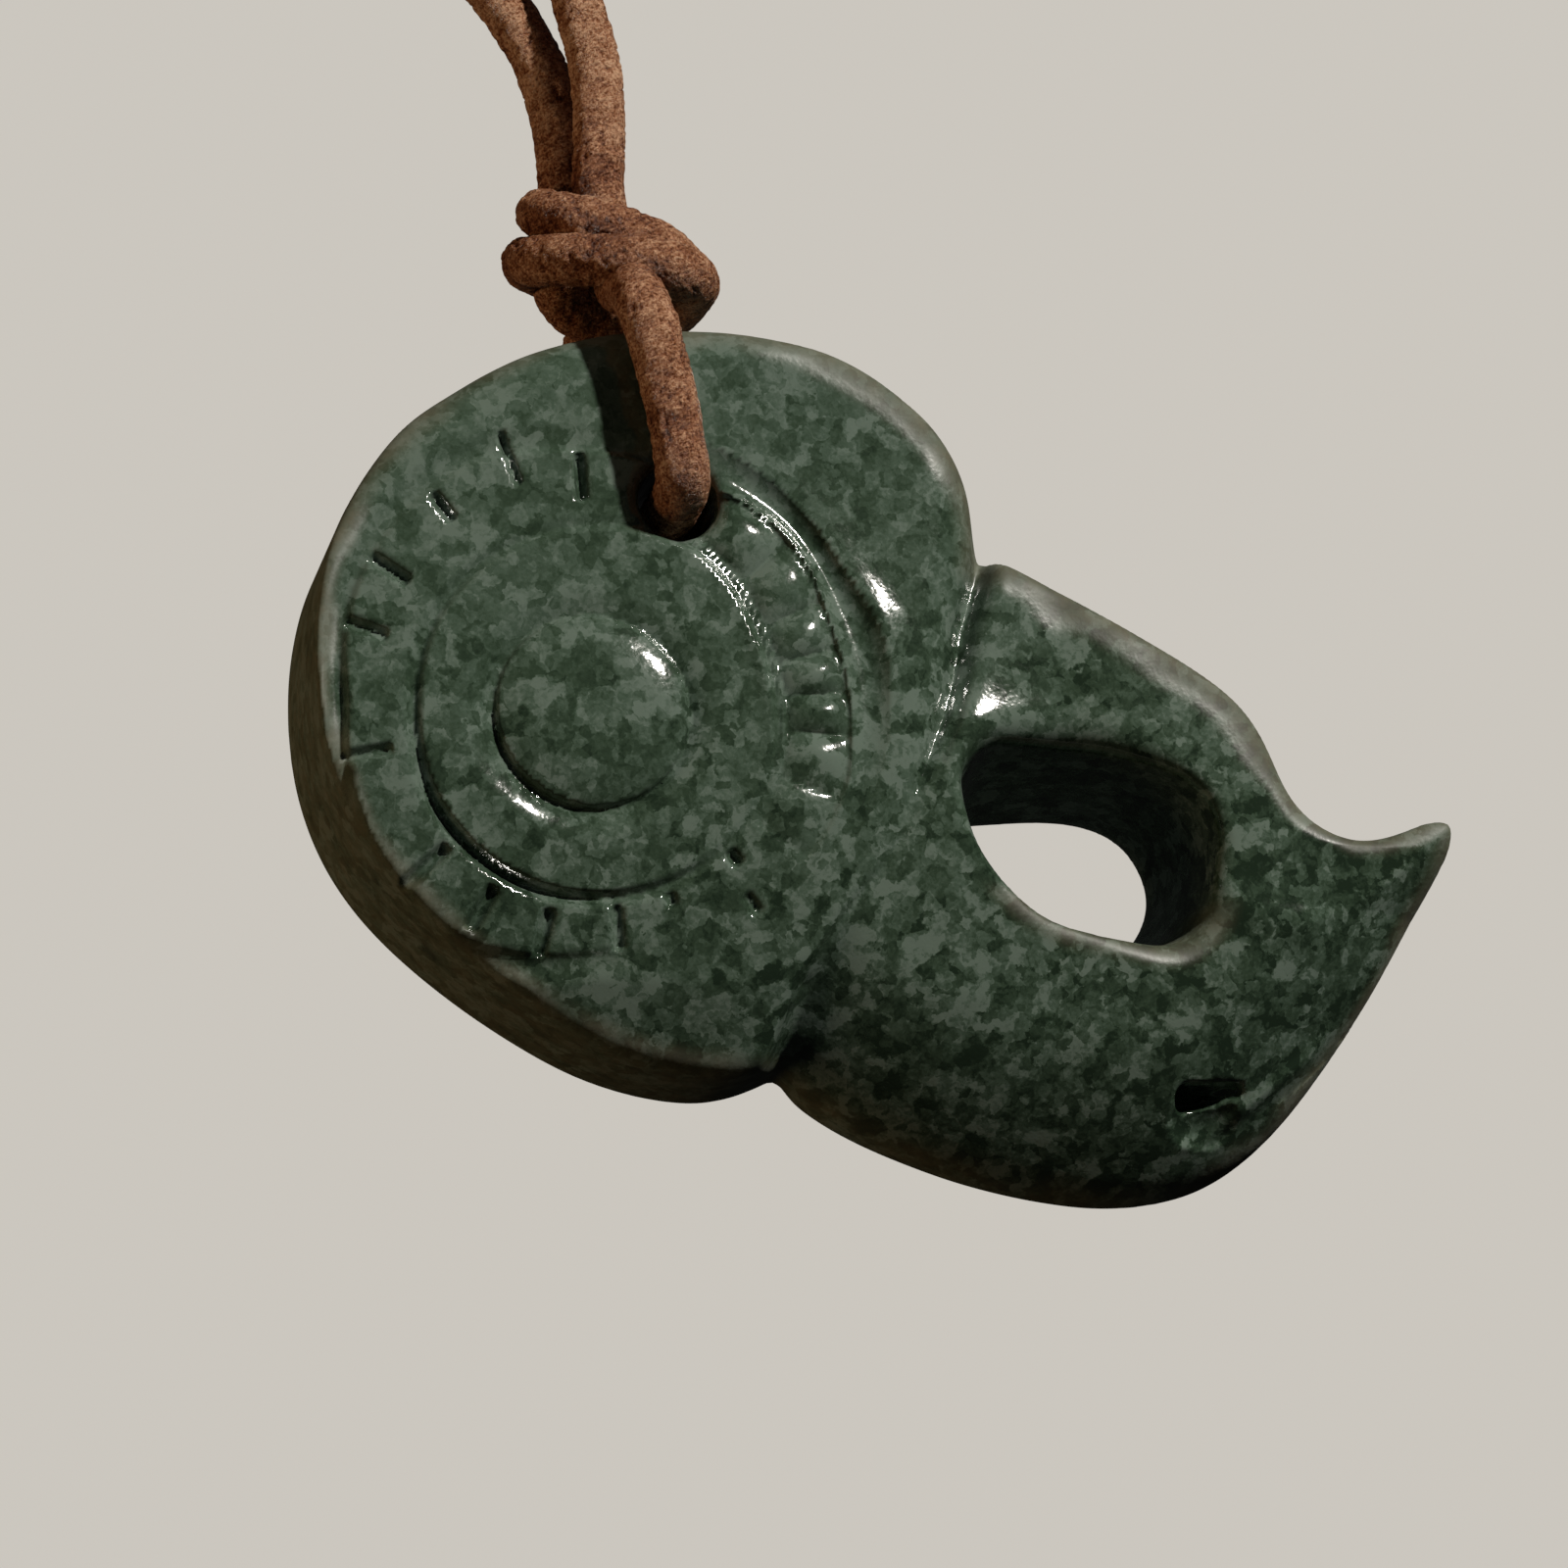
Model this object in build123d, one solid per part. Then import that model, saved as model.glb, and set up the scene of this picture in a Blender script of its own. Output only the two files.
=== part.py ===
"""A carved jade pendant, a macaw's head, hanging from a brown leather cord that is tied at the nape.

The pendant is one solid: a round head with a ringed eye, a crease, and a hooked beak with a large pierced hole.
It is drawn flat, u towards the beak, v up and w out of the carved face, with zero in the middle of the cord hole.
It is then turned to hang by its own weight, and lowered below the nape of the cord, which is the origin. +Z is up,
the carved face looks along -Y. All sizes are in millimetres.
"""

import os
from math import atan2, cos, degrees, pi, radians, sin, tan

from build123d import *

os.makedirs("parts", exist_ok=True)

# Head
head_radius = 15.2
head_across = 0.7  # centre of the head from the cord hole, towards the beak
head_below = 7.5  # and down
head_thickness = 10.4
head_edge_round = 1.4

# Beak, measured from the centre of the head
beak_reach = 32.2
beak_drop = 19.1
beak_thickness = 8.8
beak_edge_round = 0.9
beak_tip_round = 1.0  # of the outline, seen from the front

# Crease between head and beak, a hollow along an arc on both faces
crease_bulge = 1.3  # how far the arc stands out from the straight line
crease_width = 2.6
crease_depth = 0.9

# Eye, on the carved face
eye_across = -3.2  # centre of the eye from the cord hole
eye_below = 9.1
boss_radius = 3.85
boss_rise = 0.35
inner_ring_radius = 7.3
outer_ring_radius = 10.35
groove_width = 0.65
groove_depth = 0.45
notch_width = 0.55
notch_depth = 0.4

# Notches across the outer ring: angle in degrees from the beak side upwards, start and end as shares of the ring
NOTCHES = [
    ("lower right", -38, 0.15, 0.75),
    ("low", -57, 0.05, 0.4),
    ("bottom right", -69, 0.1, 0.6),
    ("bottom", -82, 0.1, 0.95),
    ("bottom left", -103, 0.1, 0.95),
    ("low left", -121, 0.1, 0.9),
    ("lower left", -140, 0.05, 0.95),
    ("left below", -168, 0.1, 0.9),
    ("left above", 167, 0.1, 0.9),
    ("upper left", 150, 0.15, 0.95),
    ("high left", 129, 0.2, 0.95),
    ("top left", 111, 0.1, 0.95),
    ("top", 94, 0.2, 0.95),
    ("high right", 46, 0.15, 0.95),
    ("upper right", 36, 0.2, 0.95),
    ("right above", 25, 0.15, 0.9),
    ("right", 13, 0.2, 0.95),
    ("right below", 2, 0.15, 0.9),
    ("right low", -8, 0.2, 0.9),
    ("right lower", -20, 0.15, 0.85),
]

# Pierced hole in the beak, an oval with rounded rims
hole_across = 17.35  # centre from the cord hole
hole_below = 13.2
hole_length = 10.3
hole_height = 7.8
hole_tilt = -14.0
hole_edge_round = 0.8

# Nostril, a slanted pit in the carved face near the beak's lower edge
nostril_across = 20.9
nostril_below = 23.0
nostril_radius = 1.1
nostril_depth = 1.3
nostril_slant = 58.0
nostril_turn = -42.0  # the way it runs out, from the beak side upwards

# Cord hole and cord
bore_radius = 1.6
bore_mouth_round = 1.0
cord_diameter = 2.2
cord_clearance = 0.35

# Knot above the pendant, two wraps of the cord round its strands
knot_side = 9.0  # it stands this many degrees from the drawing's v axis, away from the beak
knot_gap = 1.2  # between the rim of the head and the knot
wrap_radius = 3.0  # centre line of each wrap
wrap_rise = 1.35  # of each wrap's middle from the knot's middle
upper_wrap_tilt = 13.0  # down towards the beak
lower_wrap_tilt = 4.0
leg_bend = 50.0  # turn of each leg over the rim of the head, in degrees
leg_rise = 0.35  # from the rim of the head to the middle of that bend
leg_run = 2.6  # from that bend to where the leg meets the knot

# Nape tie, which is plain
tie_length = 12.0
tie_radius = 2.6
tie_round = 1.2
nape_above_bore = 143.0

# Head outline, from crease to crease: name, angle in degrees from the beak side upwards, share of head_radius
HEAD_OUTLINE = [
    ("crease above", 27, 0.905),
    ("brow", 35, 0.952),
    ("upper right", 48, 0.993),
    ("above right", 63, 1.014),
    ("top", 90, 1.003),
    ("above left", 120, 1.005),
    ("upper left", 148, 1.02),
    ("left", 180, 1.003),
    ("lower left", 210, 0.975),
    ("low left", 236, 0.938),
    ("low", 260, 0.982),
    ("bottom", 280, 1.018),
    ("crease below", 292, 0.995),
]

# The outline's return under the beak, which the crease cuts off
HEAD_RETURN = [
    ("under the beak's throat", 316, 0.98),
    ("under the beak", 340, 0.95),
    ("under the beak's brow", 363, 0.915),
]

# Beak outline: name, share of beak_reach, share of beak_drop, from the centre of the head
BEAK_ABOVE = [
    ("root above", 0.27, 0.37),
    ("brow", 0.46, 0.277),
    ("forehead", 0.615, 0.14),
    ("bridge", 0.73, -0.01),
    ("step", 0.785, -0.165),
    ("hollow", 0.865, -0.236),
    ("hook", 0.945, -0.208),
    ("tip", 0.997, -0.175),
]
BEAK_BELOW = [
    ("tip", 0.997, -0.175),
    ("back", 0.958, -0.4),
    ("cheek", 0.853, -0.71),
    ("chin", 0.72, -0.945),
    ("throat", 0.525, -1.0),
    ("neck", 0.325, -0.925),
    ("root below", 0.13, -0.72),
]

# Strand routes, chosen by hand, from the middle of the cord hole: x to the beak side, y to the back, z up
LEFT_ROUTE = [
    (4.3, 1.1, 15.9),
    (5.5, 1.1, 18.4),
    (5.9, 1.0, 22.2),
    (4.9, 0.6, 26.8),
    (0.6, 0.2, 32.6),
    (-8.5, 0.0, 40.5),
    (-23.5, 0.0, 50.5),
    (-42.0, 0.0, 64.0),
    (-59.0, 0.0, 81.5),
    (-68.0, 0.0, 101.0),
    (-64.5, 0.0, 119.5),
    (-48.0, 0.0, 134.5),
    (-23.0, 0.0, 143.0),
]
RIGHT_ROUTE = [
    (5.2, -1.1, 15.2),
    (7.0, -1.1, 18.2),
    (7.9, -1.0, 22.4),
    (9.4, -0.5, 27.2),
    (13.9, -0.1, 33.4),
    (22.5, 0.0, 41.5),
    (36.5, 0.0, 52.0),
    (52.5, 0.0, 66.0),
    (66.0, 0.0, 84.5),
    (71.0, 0.0, 104.0),
    (65.5, 0.0, 121.5),
    (48.5, 0.0, 135.5),
    (23.0, 0.0, 143.0),
]

cord_radius = cord_diameter / 2
half_head = head_thickness / 2
half_beak = beak_thickness / 2
head_centre = Vector(head_across, -head_below)
eye_centre = Vector(eye_across, -eye_below)


def around(centre, radius, angle):
    """The point at an angle, in degrees, on a circle in the drawing's plane."""
    return Vector(centre.X + radius * cos(radians(angle)), centre.Y + radius * sin(radians(angle)))


def plate(face, thickness, edge_round):
    """A face made into a plate about the drawing's plane, with both rims rounded."""
    solid = extrude(Pos(0, 0, -thickness / 2) * face, amount=thickness)
    rims = solid.edges().filter_by(GeomType.LINE, reverse=True).group_by(Axis.Z)
    return fillet(rims[0] + rims[-1], edge_round)


def head_points(outline):
    """The points that the head's outline runs through."""
    return [around(head_centre, share * head_radius, angle) for _, angle, share in outline]


def crease_line():
    """The arc between head and beak."""
    points = head_points(HEAD_OUTLINE)
    start, end = points[0], points[-1]
    middle = (start + end) / 2
    outward = (middle - head_centre).normalized()
    return ThreePointArc(start, middle + outward * crease_bulge, end)


def head_face():
    """The head's whole outline, which runs on under the beak."""
    return make_face(Spline(head_points(HEAD_OUTLINE + HEAD_RETURN), periodic=True))


def head_plate():
    """The round head, cut off along the crease."""
    crease = crease_line()
    keep = Cylinder(crease.radius, 2 * head_thickness)
    plain = plate(head_face(), head_thickness, head_edge_round)
    return plain & Pos(crease.arc_center.X, crease.arc_center.Y, 0) * keep


def beak_plate():
    """The hooked beak with its pierced hole, which runs on under the head."""
    above, below = [
        Spline([head_centre + Vector(across * beak_reach, up * beak_drop) for _, across, up in edge])
        for edge in (BEAK_ABOVE, BEAK_BELOW)
    ]
    face = make_face([above, below, Line(below @ 1, above @ 0)])
    face = fillet(face.vertices().sort_by_distance(above @ 1)[0], beak_tip_round)
    solid = plate(face, beak_thickness, beak_edge_round) - beak_hole()
    hole_mouths = [Vector(hole_across, -hole_below, side * half_beak) for side in (1, -1)]
    rims = [solid.edges().sort_by_distance(mouth)[0] for mouth in hole_mouths]
    return fillet(rims, hole_edge_round)


def crease_cut(side):
    """The hollow along the crease on one face, a bent rod with its middle above the face."""
    half_width = crease_width / 2
    section_radius = (half_width**2 + crease_depth**2) / (2 * crease_depth)
    height = side * (half_beak + section_radius - crease_depth)
    crease = crease_line()
    return Pos(crease.arc_center.X, crease.arc_center.Y, height) * Torus(crease.radius, section_radius)


def ring_groove(radius):
    """A groove with a round bottom about the eye."""
    half_width = groove_width / 2
    section_radius = (half_width**2 + groove_depth**2) / (2 * groove_depth)
    height = half_head + section_radius - groove_depth
    return Pos(eye_centre.X, eye_centre.Y, height) * Torus(radius, section_radius)


def notch(angle, start, end):
    """One cut across the outer ring."""
    inner = inner_ring_radius + groove_width
    depth = outer_ring_radius - inner
    half_width = notch_width / 2
    section_radius = (half_width**2 + notch_depth**2) / (2 * notch_depth)
    middle = inner + depth * (start + end) / 2
    height = half_head + section_radius - notch_depth
    place = around(eye_centre, middle, angle)
    rod = Cylinder(section_radius, depth * (end - start), rotation=(0, 90, 0))
    return Pos(place.X, place.Y, height) * Rot(0, 0, angle) * rod


def boss():
    """The domed middle of the eye."""
    ball_radius = (boss_radius**2 + boss_rise**2) / (2 * boss_rise)
    ball = Pos(0, 0, half_head + boss_rise - ball_radius) * Sphere(ball_radius)
    keep = Pos(0, 0, half_head) * Cylinder(boss_radius, 4 * boss_rise)
    return Pos(eye_centre.X, eye_centre.Y, 0) * (ball & keep)


def beak_hole():
    """The pierced oval."""
    oval = Rot(0, 0, hole_tilt) * Ellipse(hole_length / 2, hole_height / 2)
    return extrude(Pos(hole_across, -hole_below, -beak_thickness) * oval, amount=2 * beak_thickness)


def nostril():
    """A pit that is deep on the crease side and runs out towards the tip."""
    rod = Cylinder(nostril_radius, 4 * nostril_radius, align=(Align.CENTER, Align.CENTER, Align.MIN))
    foot = Pos(nostril_across, -nostril_below, half_beak - nostril_depth)
    return foot * Rot(0, 0, nostril_turn) * Rot(0, nostril_slant, 0) * rod


def bore():
    """The cord hole, with its mouths rounded."""
    mouth = bore_radius + bore_mouth_round
    hole = Cylinder(bore_radius, head_thickness * 2)
    for side in (1, -1):
        flare = Pos(0, 0, side * (half_head - bore_mouth_round / 2)) * Cylinder(mouth, bore_mouth_round)
        flare -= Pos(0, 0, side * (half_head - bore_mouth_round)) * Torus(mouth, bore_mouth_round)
        hole += flare
    return hole


def carved_pendant():
    """The whole pendant, flat in its drawing's plane."""
    body = head_plate() + beak_plate() + boss()
    for side in (1, -1):
        body -= crease_cut(side)
    for radius in (boss_radius, inner_ring_radius, outer_ring_radius):
        body -= ring_groove(radius + groove_width / 2)
    for _, angle, start, end in NOTCHES:
        body -= notch(angle, start, end)
    body -= nostril()
    body -= bore()
    return body.solid()


flat_pendant = carved_pendant()
weight_centre = flat_pendant.center(CenterOf.MASS)
hang_angle = degrees(atan2(weight_centre.X, -weight_centre.Y))
bore_place = Pos(0, 0, -nape_above_bore)


def hung(shape):
    """Something of the drawing's plane, turned to hang and lowered below the nape."""
    return bore_place * Plane.XZ.location * Rot(0, 0, -hang_angle) * shape


def upright(point):
    """A point of the drawing's plane, turned to hang, from the middle of the cord hole."""
    turned = point.rotate(Axis.Z, -hang_angle)
    return Vector(turned.X, -turned.Z, turned.Y)


def rim_distance(direction):
    """How far the head's edge is from the cord hole, along a direction in the drawing's plane."""
    ray = Line(Vector(0, 0), direction * 3 * head_radius)
    return (head_face() & ray).edge().length


knot_axis = around(Vector(0, 0), 1, 90 + knot_side)
out_of_face = Vector(0, 0, 1)
rim = rim_distance(knot_axis)
knot_half = wrap_rise + cord_radius + wrap_radius * sin(radians(upper_wrap_tilt))
knot_middle = knot_axis * (rim + knot_gap + knot_half)


def rounded_path(points, radii):
    """Straight runs joined by tangent arcs, with the radii printed."""
    print("radii", [round(radius, 2) for radius in radii])
    return FilletPolyline(*points, radius=radii)


def route_radii(points):
    """The largest arc at each corner that its two runs allow."""
    radii = []
    for before, corner, after in zip(points, points[1:], points[2:]):
        first, second = corner - before, after - corner
        shorter = min(first.length, second.length)
        radii.append(0.45 * shorter / tan(radians(first.get_angle(second)) / 2))
    return radii


def tube(name, points, radii):
    """A cord's tube along a route, compared with its section times its length."""
    path = rounded_path(points, radii)
    start = Plane(origin=points[0], z_dir=points[1] - points[0])
    solid = sweep(start * Circle(cord_radius), path=path).solid()
    share = solid.volume / (pi * cord_radius**2 * path.length)
    print(name, "length", round(path.length, 2), "volume share", round(share, 4))
    return solid


def leg_points(side):
    """One leg of the bight: where it meets the knot, its bend over the rim, its turn into the cord hole."""
    leg_out = half_head + cord_clearance + cord_radius
    in_hole = bore_radius - cord_clearance - cord_radius
    bend_up = rim + leg_rise
    end_up = bend_up + leg_run * cos(radians(leg_bend))
    end_out = leg_out - leg_run * sin(radians(leg_bend))
    return [
        knot_axis * end_up + out_of_face * side * end_out,
        knot_axis * bend_up + out_of_face * side * leg_out,
        knot_axis * in_hole + out_of_face * side * leg_out,
    ]


def cord_bight():
    """The cord up the front, through the cord hole and up the back, round the hole's rounded mouths."""
    points = leg_points(1) + leg_points(-1)[::-1]
    mouth_radius = bore_mouth_round + cord_clearance + cord_radius
    radii = route_radii(points)
    radii[1] = radii[2] = mouth_radius
    return tube("cord_bight", points, radii)


def stub(end, inward, middle):
    """The cord inside the knot, from where it meets the cord outside face to face, to the knot's middle."""
    reach = (middle - end).dot(inward.normalized())
    return extrude(Plane(origin=end, z_dir=inward) * Circle(cord_radius), amount=reach)


def wrap(up, tilt):
    """One turn of the cord round the strands, in the knot's own frame."""
    return Pos(0, 0, up) * Rot(0, tilt, 0) * Torus(wrap_radius, cord_radius)


def cord_knot():
    """The knot's outer shape: two wraps, filled, with the ends of the legs and strands."""
    core = Cylinder(wrap_radius, 2 * wrap_rise + cord_radius)
    body = core + wrap(wrap_rise, upper_wrap_tilt) + wrap(-wrap_rise, lower_wrap_tilt)
    frame = Plane(origin=knot_middle, x_dir=around(Vector(0, 0), 1, knot_side), z_dir=knot_axis)
    body = frame.location * body
    for side in (1, -1):
        end, bend, _ = leg_points(side)
        body += stub(end, end - bend, knot_middle)
    body = hung(body)
    for route in (left_points, right_points):
        body += bore_place * stub(route[0], route[0] - route[1], upright(knot_middle))
    return body.solid()


def strand(name, points):
    """One strand, from the knot round to the tie."""
    return bore_place * tube(name, points, route_radii(points))


def cord_tie():
    """A plain barrel at the nape, whose flat ends meet the strands."""
    barrel = Cylinder(tie_radius, tie_length, rotation=(0, 90, 0))
    return fillet(barrel.edges().filter_by(GeomType.CIRCLE), tie_round)


def route_points(route, side):
    """A strand's route, which ends at the tie."""
    return [Vector(*point) for point in route] + [Vector(side * tie_length / 2, 0, nape_above_bore)]


left_points = route_points(LEFT_ROUTE, -1)
right_points = route_points(RIGHT_ROUTE, 1)

parts = {
    "pendant": hung(flat_pendant),
    "cord_bight": hung(cord_bight()),
    "cord_knot": cord_knot(),
    "cord_left": strand("cord_left", left_points),
    "cord_right": strand("cord_right", right_points),
    "cord_tie": cord_tie(),
}
for name, part in parts.items():
    export_step(part, f"parts/{name}.step")

print("hang angle", round(hang_angle, 2), "pendant volume", round(flat_pendant.volume, 1))
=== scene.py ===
"""A carved jade macaw pendant on a leather cord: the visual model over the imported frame.

The pendant's forms are worked out in its own drawing, in millimetres: u towards the beak, v up, w out of the carved
face, with zero in the middle of the cord hole. world() turns a point of the drawing to hang and puts it in metres.
"""

from math import cos, pi, radians, sin

import bpy
import numpy as np
from mathutils import Matrix, Vector
from mathutils.kdtree import KDTree

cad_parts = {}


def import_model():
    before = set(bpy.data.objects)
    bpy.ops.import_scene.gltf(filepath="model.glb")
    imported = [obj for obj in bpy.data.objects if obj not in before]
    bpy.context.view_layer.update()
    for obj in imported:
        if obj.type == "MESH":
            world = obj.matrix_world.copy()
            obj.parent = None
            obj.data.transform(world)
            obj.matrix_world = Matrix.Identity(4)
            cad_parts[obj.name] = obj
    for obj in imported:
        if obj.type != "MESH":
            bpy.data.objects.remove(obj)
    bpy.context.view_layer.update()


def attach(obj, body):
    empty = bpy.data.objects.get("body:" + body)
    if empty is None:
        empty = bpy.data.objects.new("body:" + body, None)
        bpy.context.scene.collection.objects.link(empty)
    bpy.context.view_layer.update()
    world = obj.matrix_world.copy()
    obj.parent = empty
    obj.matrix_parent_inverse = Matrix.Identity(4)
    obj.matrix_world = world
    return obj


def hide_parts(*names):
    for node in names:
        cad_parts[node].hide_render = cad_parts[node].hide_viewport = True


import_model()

HANG = radians(28.66)  # from the drawing's v axis to the vertical
NAPE = 143.0  # of the nape above the cord hole
CORD = 2.2  # diameter of the cord


def world(points):
    """Points of the drawing, turned to hang, in metres."""
    points = np.asarray(points, float)
    u, v, w = points[..., 0], points[..., 1], points[..., 2]
    x = u * cos(HANG) + v * sin(HANG)
    z = -u * sin(HANG) + v * cos(HANG) - NAPE
    return np.stack([x, -w, z], -1) / 1000


def upright(points):
    """Points about the middle of the cord hole, x to the beak side, y back and z up, in metres."""
    points = np.asarray(points, float)
    return (points - [0, 0, NAPE]) / 1000


# Camera
BACK = np.array([-sin(radians(12)), -sin(radians(16)), 0.0])
BACK[2] = (1 - BACK @ BACK) ** 0.5
AIM = np.array([5.43, -10.18, 0.0])
DISTANCE = 220.0


def place_camera():
    """The camera at the photograph's viewing angle."""
    right = np.cross([0.0, 1.0, 0.0], BACK)
    right /= np.linalg.norm(right)
    up = np.cross(BACK, right)
    origin = world([0, 0, 0])
    axes = [(world(axis) - origin) * 1000 for axis in (right, up, BACK)]
    camera = bpy.data.objects.new("camera", bpy.data.cameras.new("camera"))
    camera.data.lens = 123.75
    camera.data.sensor_width = 36.0
    camera.data.clip_start = 0.01
    turn = Matrix([[axis[row] for axis in axes] for row in range(3)]).to_4x4()
    camera.matrix_world = Matrix.Translation(Vector(world(AIM + BACK * DISTANCE))) @ turn
    bpy.context.scene.collection.objects.link(camera)
    bpy.context.scene.camera = camera


place_camera()

# Cords: the same routes as in part.py
LEFT_ROUTE = [
    (4.3, 1.1, 15.9),
    (5.5, 1.1, 18.4),
    (5.9, 1.0, 22.2),
    (4.9, 0.6, 26.8),
    (0.6, 0.2, 32.6),
    (-8.5, 0.0, 40.5),
    (-23.5, 0.0, 50.5),
    (-42.0, 0.0, 64.0),
    (-59.0, 0.0, 81.5),
    (-68.0, 0.0, 101.0),
    (-64.5, 0.0, 119.5),
    (-48.0, 0.0, 134.5),
    (-23.0, 0.0, 143.0),
    (-6.0, 0.0, 143.0),
]
RIGHT_ROUTE = [
    (5.2, -1.1, 15.2),
    (7.0, -1.1, 18.2),
    (7.9, -1.0, 22.4),
    (9.4, -0.5, 27.2),
    (13.9, -0.1, 33.4),
    (22.5, 0.0, 41.5),
    (36.5, 0.0, 52.0),
    (52.5, 0.0, 66.0),
    (66.0, 0.0, 84.5),
    (71.0, 0.0, 104.0),
    (65.5, 0.0, 121.5),
    (48.5, 0.0, 135.5),
    (23.0, 0.0, 143.0),
    (6.0, 0.0, 143.0),
]


def spline_curve(name, points):
    """A curve object of one open NURBS spline."""
    curve = bpy.data.curves.new(name, "CURVE")
    curve.dimensions = "3D"
    spline = curve.splines.new("NURBS")
    spline.points.add(len(points) - 1)
    for point, place in zip(spline.points, points):
        point.co = (*place, 1.0)
    spline.order_u = 3
    spline.use_endpoint_u = True
    spline.resolution_u = 48
    return bpy.data.objects.new(name, curve)


def spline_points(name, points):
    """Points close together along the NURBS spline of a route."""
    guide = spline_curve(name, points)
    bpy.context.scene.collection.objects.link(guide)
    bpy.context.view_layer.update()
    mesh = bpy.data.meshes.new_from_object(guide)
    line = np.array([vertex.co[:] for vertex in mesh.vertices])
    bpy.data.objects.remove(guide)
    bpy.data.meshes.remove(mesh)
    return line


# Noise, worked out the same each run


def hashed(cells):
    """A number from 0 to 1 for each whole-numbered cell."""
    x, y, z = (cells[..., i].astype(np.int64) for i in range(3))
    n = (x * 73856093) ^ (y * 19349663) ^ (z * 83492791)
    n = (n ^ (n >> 13)) * 1274126177
    n = (n ^ (n >> 16)) & 0xFFFFFF
    return n / 0xFFFFFF


def noise(points, size):
    """Smooth value noise from -1 to 1, with cells of that size."""
    places = np.asarray(points) / size
    cells = np.floor(places).astype(np.int64)
    part = places - cells
    part = part * part * part * (part * (part * 6 - 15) + 10)
    total = np.zeros(places.shape[:-1])
    for dx in (0, 1):
        for dy in (0, 1):
            for dz in (0, 1):
                weight = (
                    (part[..., 0] if dx else 1 - part[..., 0])
                    * (part[..., 1] if dy else 1 - part[..., 1])
                    * (part[..., 2] if dz else 1 - part[..., 2])
                )
                total += weight * hashed(cells + [dx, dy, dz])
    return total * 2 - 1


# Meshes


def mesh_object(name, vertices, faces, material=None, smooth=True):
    """A mesh object from arrays."""
    mesh = bpy.data.meshes.new(name)
    mesh.from_pydata([tuple(v) for v in vertices.tolist()], [], [tuple(f) for f in faces])
    mesh.update()
    if smooth:
        mesh.polygons.foreach_set("use_smooth", [True] * len(mesh.polygons))
    if material is not None:
        mesh.materials.append(material)
    item = bpy.data.objects.new(name, mesh)
    bpy.context.scene.collection.objects.link(item)
    return item


def even_line(line, steps):
    """A line's points again, at distances along it that are given as a list of steps' ends."""
    lengths = np.r_[0, np.cumsum(np.linalg.norm(np.diff(line, axis=0), axis=1))]
    return np.stack([np.interp(steps, lengths, line[:, i]) for i in range(3)], 1)


def line_length(line):
    """The length of a line of points."""
    return float(np.linalg.norm(np.diff(line, axis=0), axis=1).sum())


def carried_frames(line, start):
    """Tangent, side and up vectors along a line, carried from point to point without twist."""
    tangents = np.gradient(line, axis=0)
    tangents /= np.linalg.norm(tangents, axis=1)[:, None]
    sides = np.zeros_like(line)
    side = np.asarray(start, float)
    for i, tangent in enumerate(tangents):
        side = side - tangent * (side @ tangent)
        side = side / np.linalg.norm(side)
        sides[i] = side
    return tangents, sides, np.cross(tangents, sides)


def leather_depth(points):
    """How far the leather's skin stands in or out, in millimetres, at points in millimetres."""
    rough = 0.05 * noise(points + 3.9, 1.7) + 0.022 * noise(points, 0.5) + 0.032 * noise(points + 7.3, 0.22)
    cracks = 0
    for shift, size, deep in ((31.7, 0.8, 0.10), (77.1, 0.45, 0.09)):
        folds = np.abs(noise(points + shift, size))
        where = rise(noise(points + shift + 19.4, 1.5), -0.3, 0.1)
        cracks = cracks - deep * np.clip(1 - folds / 0.16, 0, 1) ** 2 * where
    pores = -0.06 * rise(noise(points + 11.9, 0.27), 0.35, 0.7)
    return rough + cracks + pores


def tube_mesh(line, step, around=44, radius=CORD / 2, ends=(0, 0)):
    """Vertices, faces and skin depths of a leather tube along a line in metres.

    ends rounds each end over that many millimetres.
    """
    total = line_length(line) * 1000
    marks = [0.0]
    while marks[-1] < total:
        marks.append(marks[-1] + (step(marks[-1]) if callable(step) else step))
    marks = np.array(marks) * total / marks[-1]
    centres = even_line(line * 1000, marks)
    _, sides, ups = carried_frames(centres, (0.0, 1.0, 0.001))
    angles = np.linspace(0, 2 * pi, around, endpoint=False)
    out = sides[:, None] * np.cos(angles)[None, :, None] + ups[:, None] * np.sin(angles)[None, :, None]
    size = np.full(len(marks), radius)
    for reach, distance in ((ends[0], marks), (ends[1], total - marks)):
        if reach:
            share = np.clip(distance / reach, 0, 1)
            size = size * np.sqrt(np.clip(1 - (1 - share) ** 2, 0.0004, 1))
    skin = centres[:, None] + out * size[:, None, None]
    depth = leather_depth(skin)
    skin = skin + out * depth[..., None] * np.minimum(size / radius, 1)[:, None, None]
    rows = len(marks)
    vertices = np.concatenate([skin.reshape(-1, 3), centres[:1], centres[-1:]]) / 1000
    i, j = np.meshgrid(np.arange(rows - 1), np.arange(around), indexing="ij")
    a, b = i * around + j, i * around + (j + 1) % around
    faces = np.stack([a, b, b + around, a + around], -1).reshape(-1, 4).tolist()
    first, last, end = rows * around, rows * around + 1, (rows - 1) * around
    faces += [(first, (k + 1) % around, k) for k in range(around)]
    faces += [(last, end + k, end + (k + 1) % around) for k in range(around)]
    return vertices, faces, np.r_[depth.ravel(), 0, 0]


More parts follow.
